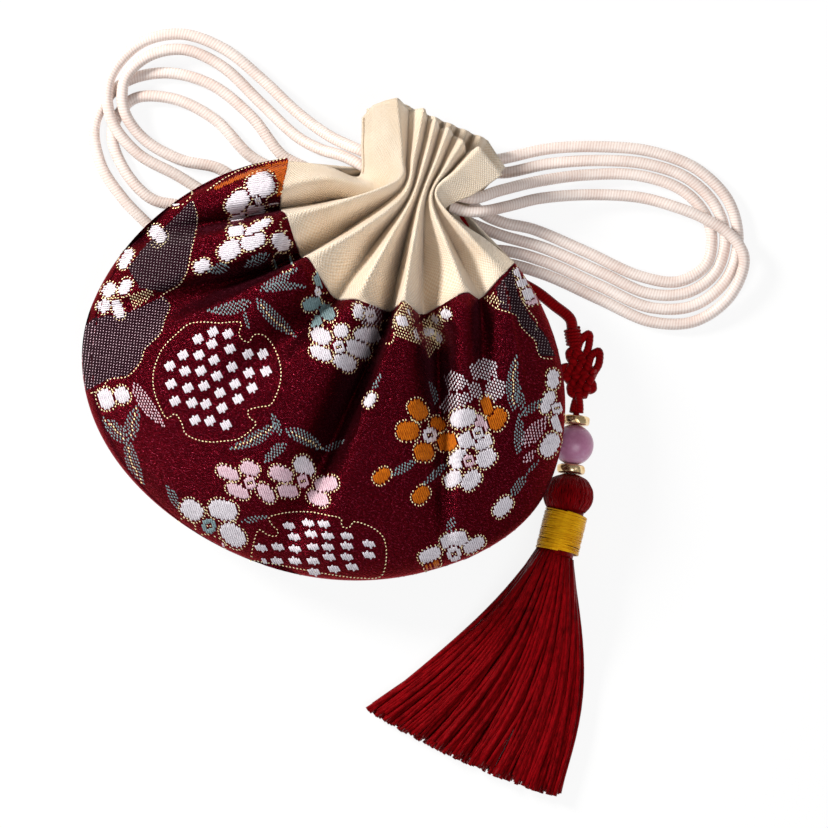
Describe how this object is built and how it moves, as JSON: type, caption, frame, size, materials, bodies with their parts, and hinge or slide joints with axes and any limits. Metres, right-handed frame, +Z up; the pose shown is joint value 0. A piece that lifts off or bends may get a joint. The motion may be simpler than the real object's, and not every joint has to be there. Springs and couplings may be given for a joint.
{
  "type": "embroidered drawstring sachet",
  "caption": "Round brocade drawstring sachet with embroidered blossoms, a gathered cotton collar and frill, looped satin drawstrings and a knotted bead and tassel pendant, lying on its back.",
  "frame": {"origin": "on the table, in the middle of the flat patch that the pouch's back rests on, under the middle of the belly", "axes": "+X across the belly to the pendant's side, +Y towards the neck and frill, +Z up out of the embroidered front"},
  "size_m": [0.1694, 0.1582, 0.0359],
  "materials": {
    "brocade": "maroon satin brocade with embroidery",
    "cotton": "cream plain weave",
    "white_cord": "glossy cream satin cord",
    "red_cord": "red satin cord",
    "gold_metal": "polished gold colour",
    "bead_stone": "polished lavender stone",
    "red_thread": "red silk thread",
    "gold_thread": "wound gold thread"
  },
  "bodies": {
    "sachet": {"brocade_pouch": "brocade", "front_collar": "cotton", "back_collar": "cotton", "left_drawstring": "white_cord", "right_drawstring": "white_cord", "pendant_cord": "red_cord", "pendant_knot": "red_cord", "tassel": "red_thread", "gold_band": "gold_thread"},
    "upper_ring_body": {"upper_ring": "gold_metal"},
    "bead_body": {"bead": "bead_stone"},
    "lower_ring_body": {"lower_ring": "gold_metal"}
  },
  "joints": [
    {"name": "upper_ring_spin", "type": "hinge", "parent": "sachet", "child": "upper_ring_body", "pos_m": [0.0602, 0.0131, 0.0051], "axis": [-0.2991, 0.9485, -0.1045], "continuous": true},
    {"name": "bead_spin", "type": "hinge", "parent": "sachet", "child": "bead_body", "pos_m": [0.0602, 0.0131, 0.0051], "axis": [-0.2991, 0.9485, -0.1045], "continuous": true},
    {"name": "lower_ring_spin", "type": "hinge", "parent": "sachet", "child": "lower_ring_body", "pos_m": [0.0602, 0.0131, 0.0051], "axis": [-0.2991, 0.9485, -0.1045], "continuous": true}
  ]
}
